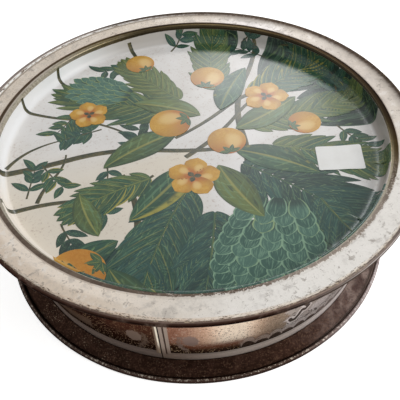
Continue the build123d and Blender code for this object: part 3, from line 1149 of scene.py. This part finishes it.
def branch_shade(p, _along, across, _tone):
    """Grey-green to brown bark, darker on one side."""
    bark = p.noise(3, 5, 0.7, 0.8, seed=72)
    return p.coats(
        "303a2d",
        (p.rise(bark, 0.35, 0.65), "625a3c"),
        (p.rise(across, 0.2, 0.9) * 0.5, "232a20"),
        (p.rise(across, -0.4, -0.8) * 0.4, "7d7450"),
    )


def fruit_shade(p, along, across, tone):
    """Yellow rind, reddish on one side. A petal gets the same colours along its length."""
    rind = p.noise(1.6, 4, 0.65, 0.4, seed=73)
    blush = p.rise(1.1 - along + rind * 0.7, 0.8, 1.35)
    aside, ahead = across + 0.35, along * 2 - 0.9
    glint = p.rise(aside * aside + ahead * ahead, 0.3, 0.0)
    return p.coats(
        "c48f2f",
        (p.rise(rind, 0.3, 0.7), "d3a645"),
        (blush * p.blend(tone, 0.9, 0.4), "ae5326"),
        (p.rise(across, 0.1, 1.0) * 0.45, "9c6a26"),
        (p.rise(p.noise(0.5, 3, 0.6, seed=74), 0.58, 0.66) * 0.3, "8f5a22"),
        (glint * 0.6, "ecd08c"),
    )


def draw_picture():
    """Foliage, twigs and fruit, all over the dish and running off its edge."""
    picture = Picture()

    def at(x, y):
        return Vector((x, y)) * MM

    # Dark leaves that run off the edge
    for turn in (-27, -19, -11, -3, 5, 14, 30, 38, 46, 101, 108, 115, 122, 129, 136, 145, 168):
        way = Vector((math.sin(math.radians(turn)), -math.cos(math.radians(turn))))
        facing = math.degrees(math.atan2(way.y, way.x)) + chance.uniform(-16, 16)
        tone = chance.uniform(-0.1, 0.5) if turn < 90 else -0.3
        picture.level += LEVEL_STEP / 2
        blade(picture, way * 76 * MM, facing, 56 * MM, 21 * MM, chance.uniform(-20, 20), LEAF,
              tone, 0.6, 5)

    # Branches, small sprigs and feathered leaves
    for x, y, heading, length, bends, thick, thin in (
        (-117, -14, 8, 146, (10, -26, 14), 4.4, 2.8), (-108, -46, 24, 92, (-24, 46), 3.4, 1.6),
        (-86, 78, -58, 66, (34, -16), 2.2, 1.4), (-106, 46, -30, 72, (18, -24), 2.4, 1.4),
        (-104, -8, 62, 40, (-30, -20), 2.4, 0.8), (28, -40, 80, 156, (18, -30, 20), 4.6, 2.4),
        (90, 72, 214, 118, (-18, 30, -14), 3.8, 2.0), (-26, -112, 104, 96, (-18, 30), 5.0, 2.8),
        (-4, -6, 38, 92, (20, -34), 3.0, 1.4), (-38, 104, -64, 70, (-14, 24), 2.6, 1.6),
        (-84, -36, 78, 40, (-20, 34), 2.4, 1.0),
    ):
        twig(picture, at(x, y), heading, length * MM, bends, thick * MM, thin * MM)
    for x, y, heading in (
        (-72, 6, 66), (-48, -8, -80), (-90, -32, 84), (-62, -30, -38), (-30, -2, 100),
        (-84, -6, -60), (-66, 40, -120), (-52, 22, 200), (60, 66, 60), (74, 60, -20),
        (50, 84, 140), (-30, 84, 200), (-10, 96, 60), (36, 100, 30), (88, 40, 80),
        (84, 14, -60), (-70, -52, -70), (62, 92, -20),
    ):
        sprig(picture, at(x, y), heading, 22 * MM, 4, 11 * MM, chance.uniform(0.0, 0.5))
    for x, y, heading, length, bend, leaflet, width, pairs, tone in (
        (-6, 34, 168, 66, -14, 32, 6.5, 13, 0.75), (-6, 46, 138, 46, -16, 22, 5.5, 10, 0.95),
        (16, 54, 96, 54, -18, 24, 6.0, 10, 0.85), (38, 44, 42, 66, -18, 28, 6.5, 12, 0.5),
        (34, 20, 10, 68, 14, 24, 6.0, 12, 0.9), (46, 0, -16, 66, -10, 26, 6.0, 12, 0.8),
        (28, -14, -36, 96, -12, 42, 7.0, 15, 0.1), (66, -44, -66, 50, 10, 26, 6.5, 9, 0.3),
        (-4, -32, -116, 84, 16, 34, 7.5, 14, 0.3), (-24, -22, -158, 44, 14, 22, 5.5, 9, 0.7),
        (10, -50, -96, 62, -6, 30, 7.0, 10, 0.15),
    ):
        frond(picture, at(x, y), heading, length * MM, bend, leaflet * MM, width * MM, pairs, tone)

    # Cones, broad leaves, fruit and blossoms
    cone(picture, at(44, -42), -104, 76 * MM, 48 * MM, 13, 0.4)
    cone(picture, at(-36, 52), 160, 34 * MM, 21 * MM, 8, 0.6)
    for x, y, heading, length, width, bend, tone in (
        (-8, 16, 204, 50, 19, 20, 0.8), (6, 30, 150, 42, 17, 22, 0.95),
        (18, 34, 74, 44, 17, -18, 0.45), (26, 16, 28, 46, 18, 14, 0.85),
        (24, -2, -18, 50, 19, -18, 0.7), (14, -14, -70, 46, 20, 16, 0.9),
        (-2, -12, -122, 52, 20, -14, 0.55), (-40, -66, -150, 42, 17, 16, 0.4),
        (-44, -84, -62, 44, 18, 16, 0.75), (-50, -62, 120, 34, 14, -20, 0.85),
    ):
        picture.level += LEVEL_STEP
        blade(picture, at(x, y), heading, length * MM, width * MM, bend, LEAF, tone, 0.42, 7)
    for x, y, size, tone, lean in (
        (-60, -85, 30, 1.0, 205), (-12, 24, 24, 0.2, 200), (20, 6, 22, 0.3, 100),
        (12, 66, 21, 0.5, 80), (-30, 84, 18, 0.7, 120), (66, 18, 19, 0.3, 20),
    ):
        fruit(picture, at(x, y), size * MM, tone, lean)
    for x, y, size, turn in ((0, -22, 15, 10), (46, 44, 14, 0), (-60, 36, 12, 30)):
        blossom(picture, at(x, y), size * MM, turn)
    piece = picture.finished("lid_print", [
        print_paint("leaf_print", leaf_shade), print_paint("branch_print", branch_shade),
        print_paint("fruit_print", fruit_shade), print_paint("scale_print", scale_shade),
    ])
    return piece, picture.level


def paper_paint():
    p = Paint("label_paper")
    fibre = p.noise(0.4, 4, 0.6, seed=80)
    shade = p.mix(p.rise(p.noise(6, 3, seed=81), 0.4, 0.7) * 0.4, "f6f6f4", "ebeae6")
    shade = p.mix(p.rise(fibre, 0.55, 0.75) * 0.25, shade, "dcdad4")
    p.bump(fibre * 0.012)
    return p.finished(shade, 0.7 + fibre * 0.1, 0.0)


LABEL_MIDDLE = Vector((81.3 * MM, -13.9 * MM))  # on the flat picture
LABEL_LEAN = math.radians(-0.9)


def paper_label(above):
    """A blank paper label stuck on the picture, its corners rounded and one of them lifting."""
    wide, high, corner, thick = 25.4 * MM, 19.05 * MM, 1.2 * MM, 0.1 * MM
    across, up = 26, 20  # squares in its mesh
    places, faces = [], []
    for level in (thick, 0.0):
        for j in range(up + 1):
            for i in range(across + 1):
                x, y = (i / across - 0.5) * wide, (j / up - 0.5) * high
                inset_x, inset_y = abs(x) - (wide / 2 - corner), abs(y) - (high / 2 - corner)
                if inset_x > 0 and inset_y > 0:
                    reach = math.hypot(inset_x, inset_y)
                    pull = max(reach - corner, 0) / reach
                    x -= math.copysign(inset_x * pull, x)
                    y -= math.copysign(inset_y * pull, y)
                lift = 0.7 * MM * ease(x + y, 11 * MM, 22 * MM)
                lift += 0.05 * MM * math.sin(x / MM * 0.5)
                place = Matrix.Rotation(LABEL_LEAN, 2) @ Vector((x, y)) + LABEL_MIDDLE
                places.append(on_dish(place, above + lift + level))
    layer = (across + 1) * (up + 1)
    for j in range(up):
        for i in range(across):
            a = j * (across + 1) + i
            quad = [a, a + 1, a + across + 2, a + across + 1]
            faces += [quad, [n + layer for n in reversed(quad)]]
    rim = list(range(across + 1))
    rim += [(j + 1) * (across + 1) - 1 for j in range(1, up + 1)]
    rim += [layer - 1 - i for i in range(1, across + 1)]
    rim += [j * (across + 1) for j in range(up - 1, 0, -1)]
    for a, b in zip(rim, rim[1:] + rim[:1]):
        faces.append([b, a, a + layer, b + layer])
    return smooth_piece("paper_label", places, faces, 40, [paper_paint()])


half_seam, step = SEAM_WIDTH / 2 / MOUTH_RADIUS, HAIR / MOUTH_RADIUS
seam_sides = [SEAM_ANGLE + side * (half_seam + out) for side in (-1, 1) for out in (-step, step)]

lid = turned("lid_drawn", lid_face(), lid_uneven, lid_paint())
wall = turned("wall_rolled", wall_face(), wall_uneven, wall_paint(), seam_sides)
base = turned("base_drawn", base_face(), base_uneven, base_paint())
picture, picture_level = draw_picture()
label = paper_label(picture_level + 0.05 * MM)

for piece, node, body, slot in (
    (lid, "lid", "lid", "lid_sheet"), (wall, "body_wall", "tin", "wall_sheet"),
    (base, "base_pan", "tin", "base_sheet"),
):
    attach(piece, body)
    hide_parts(node)
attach(picture, "lid")
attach(label, "lid")


TIN_MIDDLE = Vector((0, 0, 40 * MM))


def light(name, place, size, power, shade):
    """A soft lamp that faces the tin."""
    lamp = bpy.data.lights.new(name, "AREA")
    lamp.shape = "RECTANGLE"
    lamp.size, lamp.size_y = size
    lamp.energy = power
    lamp.color = shade
    holder = add(name, lamp)
    holder.location = place
    holder.rotation_euler = (TIN_MIDDLE - Vector(place)).to_track_quat("-Z", "Y").to_euler()


def stage_floor():
    """A pale floor. The camera and mirror-like faces see it white, but for the tin's shadow."""
    mesh = bpy.data.meshes.new("floor")
    reach, count = 2.5, 9  # half its width, and the places along one side
    ticks = [reach * (2 * i / (count - 1) - 1) for i in range(count)]
    corners = [j * count + i for j in range(count - 1) for i in range(count - 1)]
    faces = [[a, a + 1, a + count + 1, a + count] for a in corners]
    mesh.from_pydata([(x, y, 0) for y in ticks for x in ticks], [], faces)
    p = Paint("floor_paint")
    p.shader.inputs["Emission Color"].default_value = (1, 1, 1, 1)
    p.link(p.seen() * 0.75, p.shader.inputs["Emission Strength"])
    shade = p.mix(p.noise(90, 2), "e9e9e8", "efefee")
    mesh.materials.append(p.finished(shade, 0.9, 0.0))
    floor = add("floor", mesh)
    floor.location.z = -0.3 * MM


def studio():
    """A white world that lights the tin softly, the floor and two soft lamps."""
    world = bpy.data.worlds.new("studio")
    bpy.context.scene.world = world
    sky = Formulas(world)
    background = sky.tree.nodes["Background"].inputs
    background["Color"].default_value = (1, 1, 1, 1)
    sky.link(sky.seen() * 0.6 + 0.4, background["Strength"])
    stage_floor()
    light("key", (1.0, -0.42, 0.84), (0.7, 0.7), 8.4, (1, 0.99, 0.975))
    light("top", (0.15, 1.06, 0.82), (0.3, 0.2), 2.4, (0.97, 0.985, 1))


def swung(first, second, angle):
    """Two square directions, turned towards each other's old places."""
    c, s = math.cos(angle), math.sin(angle)
    return c * first + s * second, c * second - s * first


def photo_camera():
    """The camera at the photo's place. It looks down, and is then panned, tilted and rolled."""
    camera = bpy.data.cameras.new("camera")
    camera.sensor_width = 36
    camera.lens = 71.236
    camera.clip_start = 0.01
    holder = add("camera", camera)
    elevation, pan, tilt, roll = (math.radians(d) for d in (41.10, 0.360, -4.469, -3.237))
    ahead = Vector((0, math.cos(elevation), -math.sin(elevation)))
    right = Vector((1, 0, 0))
    above = Vector((0, math.sin(elevation), math.cos(elevation)))
    ahead, right = swung(ahead, right, pan)
    ahead, above = swung(ahead, above, tilt)
    right, above = swung(right, above, roll)
    holder.matrix_world = Matrix((right, above, -ahead)).transposed().to_4x4()
    holder.location = (0, -333.0 * MM, 362.4 * MM)
    bpy.context.scene.camera = holder


studio()
photo_camera()
bpy.context.scene.view_settings.view_transform = "Standard"
